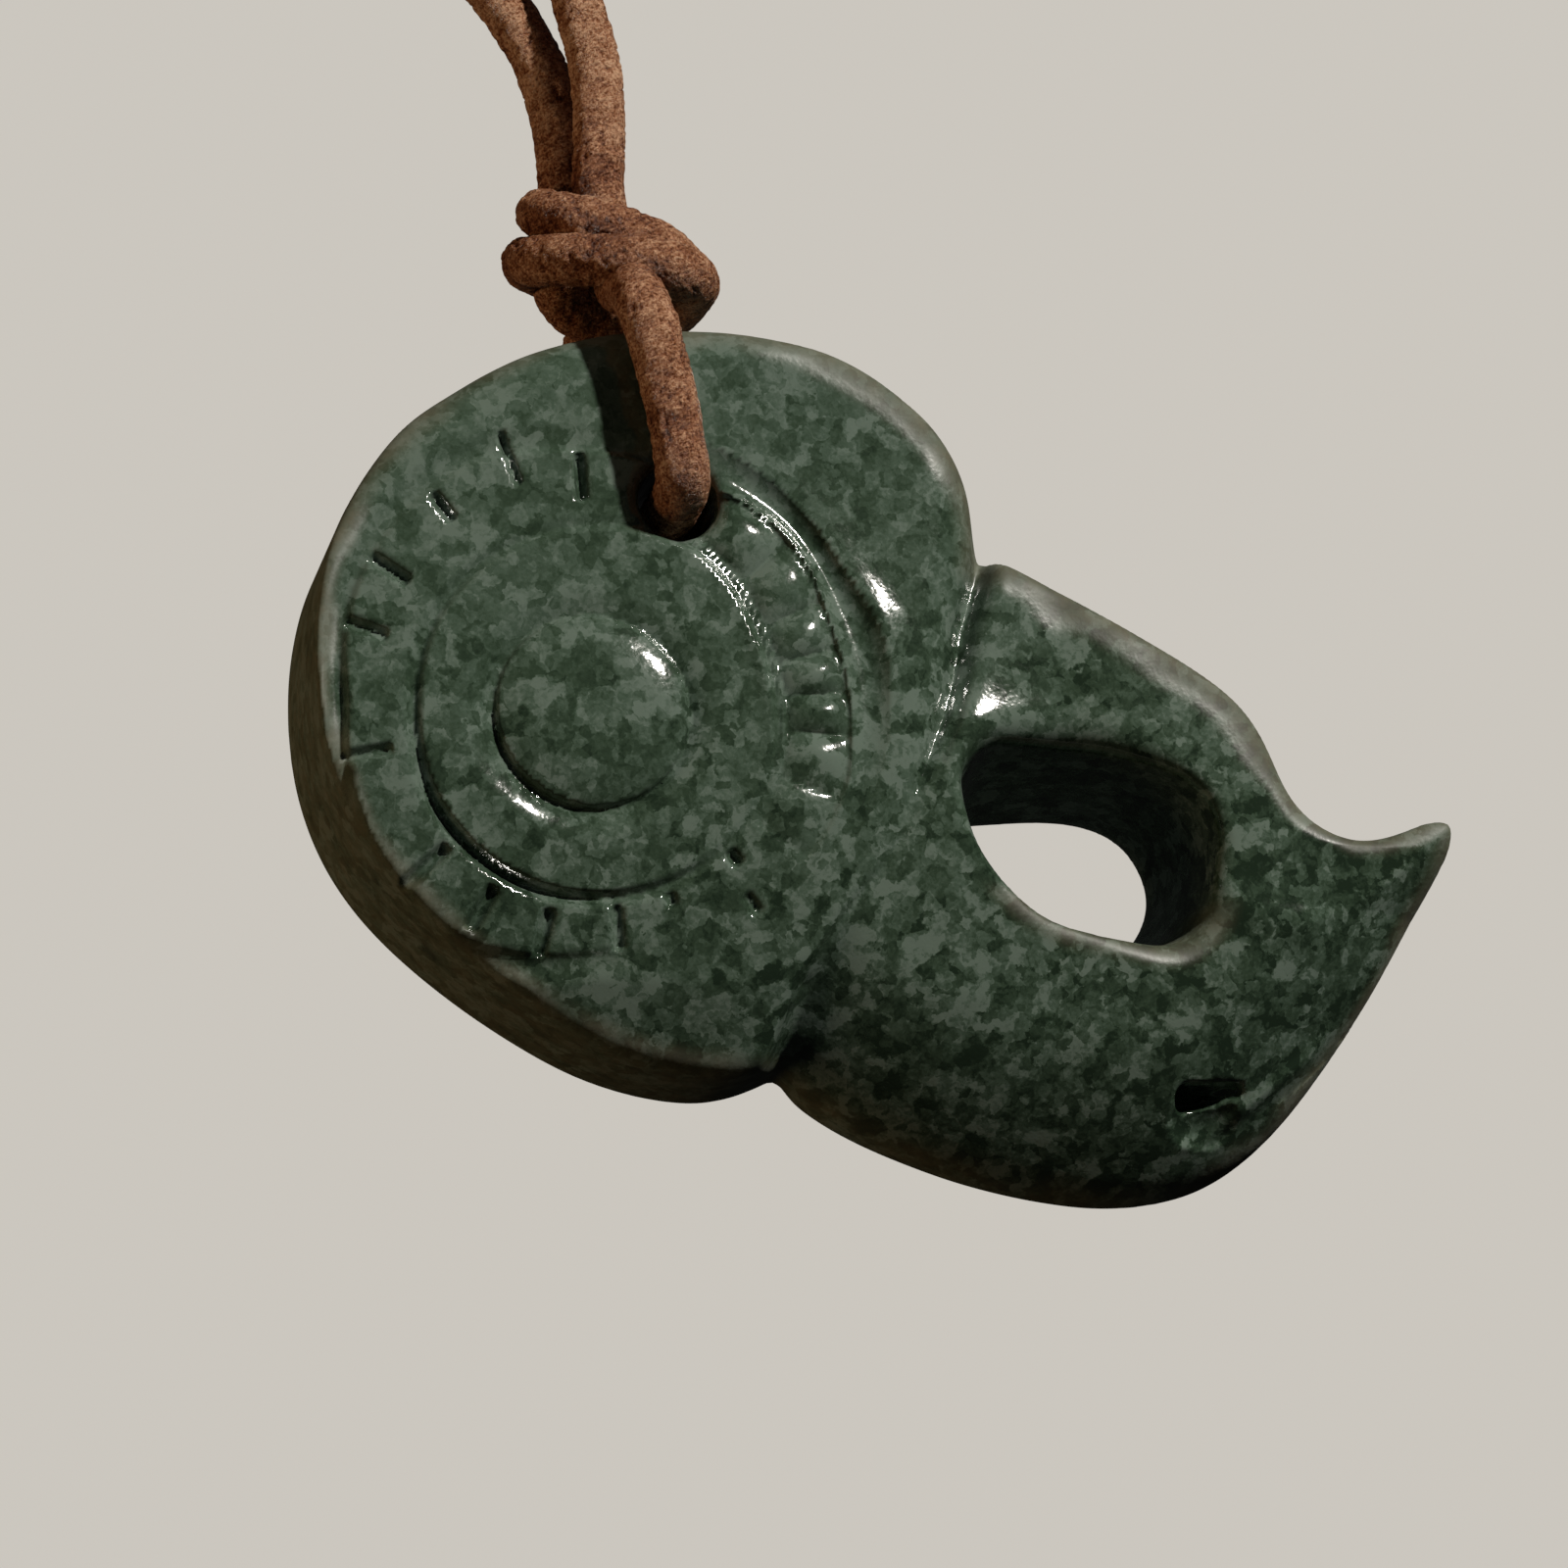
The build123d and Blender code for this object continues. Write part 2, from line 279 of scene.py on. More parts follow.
def tube(name, *meshes, painted_light_lift=0.0):
    """An object of one or more leather tubes, with the skin's depth, and a painted light lift that lightens the
    colour, kept for the material.
    """
    vertices, faces, depths = [], [], []
    count = 0
    for some_vertices, some_faces, some_depths in meshes:
        vertices.append(some_vertices)
        faces += [tuple(k + count for k in face) for face in some_faces]
        depths.append(some_depths)
        count += len(some_vertices)
    piece = mesh_object(name, np.concatenate(vertices), faces, leather)
    keep(piece, "depth", np.concatenate(depths) + painted_light_lift)
    return piece


def keep(piece, name, values):
    """Numbers of a mesh's vertices, kept for its material."""
    piece.data.attributes.new(name, "FLOAT", "POINT").data.foreach_set("value", np.asarray(values, np.float32))


def rise(x, low, high):
    """A smooth step from 0 to 1."""
    t = np.clip((x - low) / (high - low), 0, 1)
    return t * t * (3 - 2 * t)


# Materials


def shader(name):
    """A new material, with its nodes, its links and its principled shader."""
    material = bpy.data.materials.new(name)
    material.use_nodes = True
    nodes, links = material.node_tree.nodes, material.node_tree.links
    return material, nodes, links, nodes["Principled BSDF"]


def add(nodes, kind, **values):
    """A node with its settings."""
    node = nodes.new(kind)
    for name, value in values.items():
        if name in node.inputs:
            node.inputs[name].default_value = value
        else:
            setattr(node, name, value)
    return node


def ramp(nodes, stops, interpolation="LINEAR"):
    """A colour ramp with its stops."""
    node = nodes.new("ShaderNodeValToRGB")
    node.color_ramp.interpolation = interpolation
    elements = node.color_ramp.elements
    while len(elements) < len(stops):
        elements.new(0.5)
    for element, (place, colour) in zip(elements, stops):
        element.position = place
        element.color = (*colour, 1) if len(colour) == 3 else colour
    return node


def scaled_place(nodes, links):
    """The object's own coordinates, in millimetres."""
    scale = add(nodes, "ShaderNodeMapping")
    scale.inputs["Scale"].default_value = (1000, 1000, 1000)
    links.new(nodes.new("ShaderNodeTexCoord").outputs["Object"], scale.inputs["Vector"])
    return scale.outputs["Vector"]


def sum_maker(nodes, links):
    """A function that puts a step of arithmetic between two numbers or sockets into the nodes."""

    def work(operation, a, b):
        node = nodes.new("ShaderNodeMath")
        node.operation = operation
        for socket, value in zip(node.inputs, (a, b)):
            if isinstance(value, (int, float)):
                socket.default_value = value
            else:
                links.new(value, socket)
        return node.outputs[0]

    return work


def jade_material():
    """Polished jade, grey-green crystals in dark green, dusty at the rims; the brown dust colour there also paints
    a warm reflection on the rims and side walls.
    """
    material, nodes, links, surface = shader("jade")
    at, work = scaled_place(nodes, links), sum_maker(nodes, links)

    bend = add(nodes, "ShaderNodeTexNoise", Scale=1.6, Detail=3.0, Roughness=0.6)
    links.new(at, bend.inputs["Vector"])
    shift = nodes.new("ShaderNodeVectorMath")
    shift.operation = "MULTIPLY_ADD"
    shift.inputs[1].default_value = (0.9, 0.9, 0.9)
    links.new(bend.outputs["Color"], shift.inputs[0])
    links.new(at, shift.inputs[2])

    def crystals(scale, smoothness):
        cells = add(nodes, "ShaderNodeTexVoronoi", feature="SMOOTH_F1", Scale=scale, Smoothness=smoothness)
        links.new(shift.outputs["Vector"], cells.inputs["Vector"])
        split = nodes.new("ShaderNodeSeparateColor")
        links.new(cells.outputs["Color"], split.inputs[0])
        return split.outputs[0]

    def cloud(scale, detail):
        node = add(nodes, "ShaderNodeTexNoise", Scale=scale, Detail=detail, Roughness=0.6)
        links.new(at, node.inputs["Vector"])
        return node.outputs["Fac"]

    fine = cloud(6.0, 4.0)
    mix = work("MULTIPLY", crystals(0.95, 0.15), 0.34)
    mix = work("ADD", mix, work("MULTIPLY", crystals(1.9, 0.08), 0.32))
    mix = work("ADD", mix, work("MULTIPLY", crystals(4.2, 0.05), 0.15))
    mix = work("ADD", mix, work("MULTIPLY", cloud(0.30, 3.0), 0.40))
    mix = work("ADD", mix, work("MULTIPLY", cloud(1.3, 4.0), 0.20))
    mix = work("ADD", mix, work("MULTIPLY", fine, 0.34))
    # plainer at the head's top, darker and more mottled down the beak
    height = nodes.new("ShaderNodeSeparateXYZ")
    links.new(at, height.inputs[0])
    share = nodes.new("ShaderNodeMapRange")
    links.new(height.outputs["Z"], share.inputs["Value"])
    share.inputs["From Min"].default_value, share.inputs["From Max"].default_value = -176.0, -138.0
    share.inputs["To Min"].default_value, share.inputs["To Max"].default_value = 1.12, 0.55
    mix = work("MULTIPLY", work("SUBTRACT", mix, 0.875), share.outputs["Result"])
    mix = work("ADD", mix, work("SUBTRACT", 1.03, work("MULTIPLY", share.outputs["Result"], 0.25)))
    colours = ramp(
        nodes,
        [
            (0.56, (0.013, 0.024, 0.014)),
            (0.74, (0.033, 0.055, 0.034)),
            (0.88, (0.062, 0.094, 0.067)),
            (1.10, (0.114, 0.152, 0.122)),
        ],
    )
    links.new(mix, colours.inputs["Fac"])
    wear_and_reflection_tint = add(nodes, "ShaderNodeAttribute", attribute_name="wear_and_reflection_tint")
    dust_and_painted_reflection = work("MULTIPLY", wear_and_reflection_tint.outputs["Fac"], work("MULTIPLY", cloud(1.3, 4.0), 0.95))
    dust_reflection_mix = nodes.new("ShaderNodeMix")
    dust_reflection_mix.data_type = "RGBA"
    links.new(dust_and_painted_reflection, dust_reflection_mix.inputs[0])
    links.new(colours.outputs["Color"], dust_reflection_mix.inputs[6])
    # brown dust colour, which also paints the warm reflection that the rims and side walls show
    dust_reflection_mix.inputs[7].default_value = (0.105, 0.088, 0.050, 1)
    links.new(dust_reflection_mix.outputs[2], surface.inputs["Base Color"])

    polish = ramp(nodes, [(0.35, (0.08,) * 3), (0.7, (0.13,) * 3)])
    links.new(fine, polish.inputs["Fac"])
    dull = work("MULTIPLY", wear_and_reflection_tint.outputs["Fac"], 0.7)
    links.new(work("ADD", polish.outputs["Color"], dull), surface.inputs["Roughness"])
    bump = add(nodes, "ShaderNodeBump", Strength=0.3, Distance=0.00006)
    links.new(work("ADD", cloud(1.8, 2.0), work("MULTIPLY", cloud(7.0, 2.0), 0.2)), bump.inputs["Height"])
    links.new(bump.outputs["Normal"], surface.inputs["Normal"])
    surface.inputs["IOR"].default_value = 1.61
    return material


def leather_material():
    """Old red-brown leather cord, rough and cracked."""
    material, nodes, links, surface = shader("leather")
    at, work = scaled_place(nodes, links), sum_maker(nodes, links)

    grain = add(nodes, "ShaderNodeTexNoise", Scale=8.0, Detail=4.0, Roughness=0.7)
    blotch = add(nodes, "ShaderNodeTexNoise", Scale=0.7, Detail=3.0, Roughness=0.6)
    for node in (blotch, grain):
        links.new(at, node.inputs["Vector"])
    # scales with cracks between them
    shift = nodes.new("ShaderNodeVectorMath")
    shift.operation = "MULTIPLY_ADD"
    shift.inputs[1].default_value = (0.5, 0.5, 0.5)
    links.new(grain.outputs["Color"], shift.inputs[0])
    links.new(at, shift.inputs[2])
    scales = add(nodes, "ShaderNodeTexVoronoi", feature="DISTANCE_TO_EDGE", Scale=2.4)
    links.new(shift.outputs["Vector"], scales.inputs["Vector"])
    crack = nodes.new("ShaderNodeMapRange")
    crack.interpolation_type = "SMOOTHSTEP"
    crack.inputs["From Max"].default_value = 0.16
    links.new(scales.outputs["Distance"], crack.inputs["Value"])
    crack = work("MAXIMUM", crack.outputs["Result"], work("MULTIPLY", blotch.outputs["Fac"], 1.4))
    # wrinkles, level in the world as the photo's are
    flat = add(nodes, "ShaderNodeMapping")
    flat.inputs["Scale"].default_value = (1.0, 1.0, 2.6)
    links.new(at, flat.inputs["Vector"])
    wrinkle = add(nodes, "ShaderNodeTexNoise", Scale=3.0, Detail=4.0, Roughness=0.7)
    links.new(flat.outputs["Vector"], wrinkle.inputs["Vector"])
    depth = add(nodes, "ShaderNodeAttribute", attribute_name="depth")
    mix = work("ADD", work("MULTIPLY", blotch.outputs["Fac"], 0.08), work("MULTIPLY", grain.outputs["Fac"], 0.62))
    mix = work("ADD", mix, work("MULTIPLY", wrinkle.outputs["Fac"], 0.34))
    mix = work("ADD", mix, work("MULTIPLY", crack, 0.06))
    # darker in the skin's hollows, and lighter where the tube carries the painted light lift
    mix = work("ADD", mix, work("MULTIPLY", depth.outputs["Fac"], 0.8))
    colours = ramp(
        nodes,
        [
            (0.43, (0.055, 0.012, 0.004)),
            (0.515, (0.17, 0.056, 0.022)),
            (0.59, (0.33, 0.142, 0.066)),
            (0.69, (0.60, 0.35, 0.21)),
        ],
    )
    links.new(mix, colours.inputs["Fac"])
    links.new(colours.outputs["Color"], surface.inputs["Base Color"])
    shine = ramp(nodes, [(0.35, (0.2,) * 3), (0.6, (0.4,) * 3)])
    links.new(grain.outputs["Fac"], shine.inputs["Fac"])
    links.new(shine.outputs["Color"], surface.inputs["Roughness"])
    bump = add(nodes, "ShaderNodeBump", Strength=1.0, Distance=0.00017)
    bumps = work("ADD", work("MULTIPLY", grain.outputs["Fac"], 0.6), work("MULTIPLY", crack, 0.45))
    links.new(work("ADD", bumps, work("MULTIPLY", wrinkle.outputs["Fac"], 0.9)), bump.inputs["Height"])
    links.new(bump.outputs["Normal"], surface.inputs["Normal"])
    return material


jade, leather = jade_material(), leather_material()

# Strands


def strand_step(distance):
    """Short steps where the camera sees the strand, longer ones beyond."""
    return 0.11 if distance < 26 else 0.3


strands = []
for name, route in (("leather_left", LEFT_ROUTE), ("leather_right", RIGHT_ROUTE)):
    line = spline_points(name + "_guide", upright(route))
    # the strands' colour is lifted as painted light, lighter than the knot and bight of the same leather
    strands.append((tube(name, tube_mesh(line, strand_step), painted_light_lift=0.07), line))

# Knot and bight


def drawn_line(rows):
    """A smooth line through rows of u, v, w in the drawing."""
    return spline_points("drawn_guide", world(rows))


KNOT_SIDE = radians(9)  # the knot's axis leans away from the beak
KNOT_AXIS = np.array([-sin(KNOT_SIDE), cos(KNOT_SIDE), 0.0])
KNOT_ACROSS = np.array([cos(KNOT_SIDE), sin(KNOT_SIDE), 0.0])
RIM = 7.87  # of the head's edge from the cord hole, along the knot's axis
KNOT_MIDDLE = RIM + 1.2 + 3.12  # gap, and half of the knot


def knot_point(across, up, out):
    """A point of the knot: across to the beak side and up from its middle, out of the carved face."""
    return KNOT_ACROSS * across + KNOT_AXIS * (KNOT_MIDDLE + up) + np.array([0.0, 0.0, out])


# The bight up the front of the pendant and down its back, u, v, w
BIGHT = [
    (-1.8, 12.2, 0.4),
    (-1.9, 10.6, 1.4),
    (-2.0, 9.5, 3.0),
    (-2.0, 8.85, 5.45),
    (-1.75, 7.5, 6.55),
    (-1.25, 6.0, 6.65),
    (-0.7, 3.6, 6.7),
    (-0.3, 1.5, 6.7),
    (-0.05, 0.3, 6.2),
    (0.0, 0.12, 4.3),
    (0.0, 0.1, 0.0),
    (0.0, 0.12, -4.4),
    (-0.05, 0.3, -6.2),
    (-0.3, 1.5, -6.7),
    (-0.62, 3.6, -6.75),
    (-1.15, 5.9, -6.9),
    knot_point(-0.4, -4.0, -6.9),
    knot_point(-0.5, -2.3, -5.4),
    knot_point(-0.2, -0.9, -2.6),
    knot_point(-0.2, 1.0, -0.6),
]
bight = tube("leather_bight", tube_mesh(drawn_line(BIGHT), 0.12))

# Two turns about the strands, with their ends tucked in, u, v, w
WRAP = [
    (-2.9, 12.4, 0.4),
    (-3.7, 14.0, -1.4),
    (-4.8, 14.0, -0.2),
    (-5.2, 13.0, 1.9),
    (-4.15, 12.45, 3.15),
    (-2.95, 12.05, 3.6),
    (-1.5, 11.65, 3.7),
    (-0.1, 11.2, 3.2),
    (1.0, 10.7, 1.6),
    (1.4, 10.8, -0.9),
    (0.6, 11.8, -2.9),
    (-1.1, 12.2, -3.5),
    (-3.3, 12.2, -3.0),
    (-5.1, 12.0, -1.3),
    (-5.75, 11.35, 0.9),
    (-5.1, 10.75, 2.8),
    (-3.6, 10.3, 4.2),
    (-1.8, 10.2, 5.05),
    (-0.35, 9.85, 5.15),
    (0.7, 9.8, 4.35),
    (1.1, 10.25, 1.9),
    (0.9, 10.3, -0.5),
    (0.0, 10.2, -1.7),
    (-1.8, 10.0, -1.9),
    (-3.4, 10.2, -1.5),
    (-4.2, 11.2, -0.6),
    (-3.2, 12.0, 0.0),
]


def stub(route):
    """The end of a strand inside the knot, from a little way up the strand."""
    start, after = np.array(route[0]), np.array(route[1])
    along = (after - start) / np.linalg.norm(after - start)
    foot = world(knot_point(0.0, -0.5, start[1] * -0.6)) * 1000 + [0, 0, NAPE]
    rows = [start + along * 0.5, start, start - along * 1.2, (start - along * 2.2 + foot) / 2, foot]
    return spline_points("stub_guide", upright(rows))


wrap = tube(
    "leather_wrap",
    tube_mesh(drawn_line(WRAP), 0.12, ends=(0.8, 0.8)),
    tube_mesh(stub(LEFT_ROUTE), 0.12),
    tube_mesh(stub(RIGHT_ROUTE), 0.12),
)
for piece, node in ((bight, "cord_bight"), (wrap, "cord_knot")):
    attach(piece, "cord")
    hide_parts(node)

tie_line = spline_points("tie_guide", np.array([(x, 0, 0) for x in (-0.0061, -0.002, 0.002, 0.0061)]))
tie = tube("leather_tie", tube_mesh(tie_line, 0.16, around=72, radius=2.45, ends=(1.2, 1.2)))
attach(tie, "cord")
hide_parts("cord_tie")

for (piece, line), node, extras in zip(strands, ("cord_left", "cord_right"), ([bight, wrap], [tie])):
    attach(piece, "cord")
    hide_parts(node)

# Pendant

HEAD_CENTRE = np.array([0.7, -7.5])
HEAD_RADIUS = 15.2
HEAD_FRONT, HEAD_BACK = 5.2, 5.15  # how far the faces are from the drawing's plane
BEAK_FRONT, BEAK_BACK = 4.9, 4.35
BORE_RADIUS = 1.62
HOLE_CENTRE = (17.3, -13.2)
TIP = (32.2, -11.6)
EYE = np.array([-3.2, -9.1])
# Angle and share of the head's radius
HEAD_OUTLINE = [
    (27, 0.915),
    (35, 0.957),
    (48, 0.993),
    (63, 1.014),
    (90, 1.003),
    (120, 1.005),
    (148, 1.02),
    (180, 1.003),
    (210, 0.975),
    (236, 0.938),
    (260, 0.982),
    (280, 1.018),
    (292, 0.995),
    (316, 0.98),
    (340, 0.95),
    (363, 0.915),
]
BEAK_OUTLINE = [
    (9.39, -0.43),
    (15.51, -2.21),
    (20.5, -4.83),
    (24.21, -7.69),
    (25.98, -10.65),
    (28.55, -12.01),
    (30.8, -11.6),
    (32.15, -11.2),
    (32.62, -11.3),
    (32.72, -11.9),
    (32.4, -13.1),
    (31.55, -15.14),
    (28.17, -21.06),
    (23.88, -25.55),
    (17.6, -26.6),
    (11.17, -25.17),
    (4.89, -21.25),
]
HOLE_FRONT = [
    (12.5, -13.4),
    (11.95, -11.8),
    (11.9, -10.3),
    (12.9, -9.2),
    (14.64, -8.85),
    (16.9, -8.9),
    (19.8, -9.5),
    (21.8, -10.5),
    (22.7, -12.5),
    (22.6, -14.4),
    (22.3, -16.0),
    (21.2, -16.9),
    (19.2, -16.85),
    (17.2, -16.6),
    (15.4, -16.1),
    (13.9, -15.1),
]
HOLE_BACK = [
    (13.3, -13.2),
    (12.9, -11.8),
    (13.3, -10.9),
    (14.8, -10.4),
    (16.9, -10.15),
    (19.0, -10.2),
    (20.6, -10.85),
    (21.5, -12.0),
    (21.8, -13.4),
    (21.3, -14.8),
    (20.2, -15.9),
    (18.4, -16.5),
    (16.2, -16.3),
    (14.4, -15.4),
]


def smooth_loop(points, count):
    """A closed cubic curve through points, as a loop of many."""
    points = np.asarray(points, float)
    n = len(points)
    steps = np.linalg.norm(np.roll(points, -1, 0) - points, axis=1)
    matrix, right = np.zeros((n, n)), np.zeros((n, points.shape[1]))
    for i in range(n):
        before, after = steps[i - 1], steps[i]
        matrix[i, i - 1] += before
        matrix[i, i] += 2 * (before + after)
        matrix[i, (i + 1) % n] += after
        ahead = (points[(i + 1) % n] - points[i]) / after
        behind = (points[i] - points[i - 1]) / before
        right[i] = 6 * (ahead - behind)
    bends = np.linalg.solve(matrix, right)
    loop = []
    for i in range(n):
        h, k = steps[i], (i + 1) % n
        t = np.linspace(0, h, count, endpoint=False)[:, None]
        a, b = bends[i], bends[k]
        loop.append(
            (a * (h - t) ** 3 + b * t**3) / (6 * h)
            + (points[i] / h - a * h / 6) * (h - t)
            + (points[k] / h - b * h / 6) * t
        )
    return np.concatenate(loop)


FIELD_STEP = 0.15
FIELD_LOW = np.array([-18.0, -30.0])
FIELD_SIZE = (360, 280)


def depth_field(loop):
    """A table of how far the drawing's points are inside a loop, negative outside."""
    tree = KDTree(len(loop))
    for i, (u, v) in enumerate(loop):
        tree.insert((u, v, 0), i)
    tree.balance()
    u = FIELD_LOW[0] + FIELD_STEP * np.arange(FIELD_SIZE[0])
    v = FIELD_LOW[1] + FIELD_STEP * np.arange(FIELD_SIZE[1])
    places = np.stack(np.meshgrid(u, v, indexing="ij"), -1).reshape(-1, 2)
    near = np.array([tree.find((x, y, 0))[1] for x, y in places])
    best = np.full(len(places), 1e9)
    side = np.ones(len(places))
    for shift in (-1, 0):
        a = loop[(near + shift) % len(loop)]
        run = loop[(near + shift + 1) % len(loop)] - a
        gap = places - a
        along = np.clip((gap * run).sum(1) / (run**2).sum(1), 0, 1)
        away = gap - run * along[:, None]
        distance = np.hypot(away[:, 0], away[:, 1])
        nearer = distance < best
        best = np.where(nearer, distance, best)
        turn = run[:, 0] * gap[:, 1] - run[:, 1] * gap[:, 0]
        side = np.where(nearer, np.sign(turn), side)
    area = (loop[:, 0] * np.roll(loop[:, 1], -1) - loop[:, 1] * np.roll(loop[:, 0], -1)).sum()
    return (best * side * np.sign(area)).reshape(FIELD_SIZE)


def read_field(field, u, v):
    """A table's value between its points, by cubic steps."""
    x, y = (u - FIELD_LOW[0]) / FIELD_STEP, (v - FIELD_LOW[1]) / FIELD_STEP
    i = np.clip(np.floor(x).astype(int), 1, FIELD_SIZE[0] - 3)
    j = np.clip(np.floor(y).astype(int), 1, FIELD_SIZE[1] - 3)

    def weights(t):
        return (
            (-t + 2 * t**2 - t**3) / 2,
            (2 - 5 * t**2 + 3 * t**3) / 2,
            (t + 4 * t**2 - 3 * t**3) / 2,
            (-(t**2) + t**3) / 2,
        )

    wide, high = weights(np.clip(x - i, 0, 1)), weights(np.clip(y - j, 0, 1))
    total = 0
    for a in range(4):
        for b in range(4):
            total = total + wide[a] * high[b] * field[i + a - 1, j + b - 1]
    return total


def smooth_max(a, b, k):
    """The larger of two numbers, with a rounded change-over."""
    h = np.clip(0.5 + 0.5 * (a - b) / k, 0, 1)
    return b + (a - b) * h + k * h * (1 - h)


def smooth_min(a, b, k):
    """The smaller of two numbers, with a rounded change-over."""
    return -smooth_max(-a, -b, k)


def around(rows, angle):
    """A value that changes smoothly with an angle, from rows of degrees and value."""
    rows = sorted(rows)
    spots = np.array([row[0] for row in rows], float)
    values = np.array([row[1] for row in rows], float)
    spots = np.r_[spots[-1] - 360, spots, spots[0] + 360]
    values = np.r_[values[-1], values, values[0]]
    fine = np.arange(-240, 241)
    spread = np.exp(-((np.arange(-15, 16) / 5.0) ** 2))
    soft = np.convolve(np.interp((fine + 180) % 360 - 180, spots, values), spread / spread.sum(), "same")
    return np.interp(angle, fine, soft)


def line_gap(u, v, points):
    """The distance to a line of points, and how far along it from 0 to 1."""
    points = np.asarray(points, float)
    steps = np.linalg.norm(np.diff(points, axis=0), axis=1)
    done, best, where = 0.0, np.full(np.shape(u), 1e9), np.zeros(np.shape(u))
    for a, b, step in zip(points[:-1], points[1:], steps):
        t = np.clip(((u - a[0]) * (b[0] - a[0]) + (v - a[1]) * (b[1] - a[1])) / step**2, 0, 1)
        gap = np.hypot(u - a[0] - (b[0] - a[0]) * t, v - a[1] - (b[1] - a[1]) * t)
        nearer = gap < best
        best, where = np.where(nearer, gap, best), np.where(nearer, done + t * step, where)
        done += step
    return best, where / steps.sum()


head_angles = np.radians([angle for angle, _ in HEAD_OUTLINE])
head_sizes = np.array([share for _, share in HEAD_OUTLINE]) * HEAD_RADIUS
head_loop = smooth_loop(
    HEAD_CENTRE + np.stack([np.cos(head_angles), np.sin(head_angles)], 1) * head_sizes[:, None], 60
)
head_field, beak_field = depth_field(head_loop), depth_field(smooth_loop(BEAK_OUTLINE, 60))
mouth_field = depth_field(smooth_loop(HOLE_FRONT, 40))
floor_field = depth_field(smooth_loop(HOLE_BACK, 40))


def head_rim(angle, share):
    """A point at an angle, in degrees, at a share of the head's radius."""
    return HEAD_CENTRE + share * HEAD_RADIUS * np.array([cos(radians(angle)), sin(radians(angle))])


# The crease is an arc through three points, the same as in part.py
crease_start, crease_end = head_rim(27, 0.905), head_rim(292, 0.995)
crease_chord = crease_end - crease_start
crease_long = np.linalg.norm(crease_chord)
crease_bulge = 1.3
crease_radius = (crease_long**2 / 4 + crease_bulge**2) / (2 * crease_bulge)
crease_middle = (crease_start + crease_end) / 2
crease_outward = (crease_middle - HEAD_CENTRE) / np.linalg.norm(crease_middle - HEAD_CENTRE)
crease_normal = np.array([-crease_chord[1], crease_chord[0]]) / crease_long
if crease_normal @ crease_outward < 0:
    crease_normal = -crease_normal
crease_centre = crease_middle + crease_normal * (crease_bulge - crease_radius)

# Notches about the eye: angle, start and end from its middle, half width, depth
NOTCHES = [
    (95, 8.8, 10.75, 0.21, 0.50),
    (110, 9.8, 12.1, 0.15, 0.40),
    (128.5, 9.6, 10.95, 0.20, 0.45),
    (148, 9.1, 10.9, 0.24, 0.45),
    (163.5, 8.9, 10.6, 0.24, 0.42),
    (-166, 8.5, 10.4, 0.20, 0.40),
    (-135.5, 8.3, 10.75, 0.25, 0.50),
    (-118.5, 8.3, 10.15, 0.27, 0.50),
    (-102, 8.2, 9.95, 0.25, 0.45),
    (-83, 7.75, 9.45, 0.22, 0.36),
    (-67, 7.7, 8.3, 0.22, 0.32),
    (-45, 7.6, 8.25, 0.24, 0.38),
    (-49, 9.3, 10.2, 0.22, 0.28),
]
PADS = [62, 44.5, 30, 18.5, 8, -2.5, -17, -33]
# The bowl round the boss: angle, depth, width
BOSS = [
    (-150, 0.60, 1.7),
    (-90, 0.52, 1.4),
    (-40, 0.40, 1.3),
    (0, 0.42, 1.5),
    (40, 0.32, 1.5),
    (90, 0.26, 1.2),
    (140, 0.36, 1.4),
    (180, 0.52, 1.7),
]
# The ring inside the band: angle, radius, depth
INNER = [
    (-165, 7.3, 0.42),
    (-149, 7.5, 0.64),
    (-132, 7.45, 0.70),
    (-110, 7.38, 0.62),
    (-90, 7.28, 0.42),
    (-64, 7.2, 0.25),
    (-45, 7.2, 0.05),
    (-20, 7.15, 0.10),
    (0, 7.1, 0.20),
    (19, 7.1, 0.26),
    (32, 7.25, 0.28),
    (49, 7.75, 0.26),
    (67, 8.0, 0.20),
    (90, 7.6, 0.08),
    (120, 7.35, 0.14),
    (150, 7.3, 0.26),
    (176, 7.22, 0.38),
]
# The band's outer groove: angle, radius, depth
BAND = [
    (-178, 10.0, 0.50),
    (-166, 10.3, 0.45),
    (-150, 10.6, 0.40),
    (-135, 10.75, 0.34),
    (-121, 10.75, 0.30),
    (-103, 10.0, 0.26),
    (-88, 9.5, 0.14),
    (-76, 9.4, 0.0),
    (-60, 9.6, 0.0),
    (-30, 10.3, 0.0),
    (-13, 10.45, 0.08),
    (0, 10.3, 0.18),
    (14, 10.3, 0.30),
    (24, 10.3, 0.36),
    (35, 10.7, 0.40),
    (47, 10.95, 0.38),
    (62, 10.75, 0.24),
    (95, 10.8, 0.10),
    (105, 11.0, 0.12),
    (115, 11.3, 0.14),
    (128, 11.1, 0.14),
    (148, 10.9, 0.16),
    (163, 10.6, 0.34),
]
# The second ring on the right: angle, radius
SECOND = [(-20, 11.6), (0, 11.8), (11, 12.0), (20, 12.3), (32, 11.9), (43, 12.1), (54, 12.3), (70, 12.3)]
# The fold between head and beak on the carved face, from the top
CREASE = [
    (13.0, -1.2),
    (12.0, -4.5),
    (11.55, -7.0),
    (10.55, -10.2),
    (9.2, -13.3),
    (6.9, -17.1),
    (5.6, -19.2),
    (4.5, -22.6),
]
# Slope of the head's edge: angle, how far in it starts, how steep
HEAD_BEVEL = [
    (-5, 0.6, 0.05),
    (70, 0.6, 0.05),
    (88, 1.8, 0.36),
    (130, 1.7, 0.5),
    (150, 1.0, 0.3),
    (168, 0.2, 0.0),
    (-145, 0.2, 0.0),
    (-125, 0.9, 0.25),
    (-90, 3.2, 0.26),
    (-60, 3.2, 0.24),
]
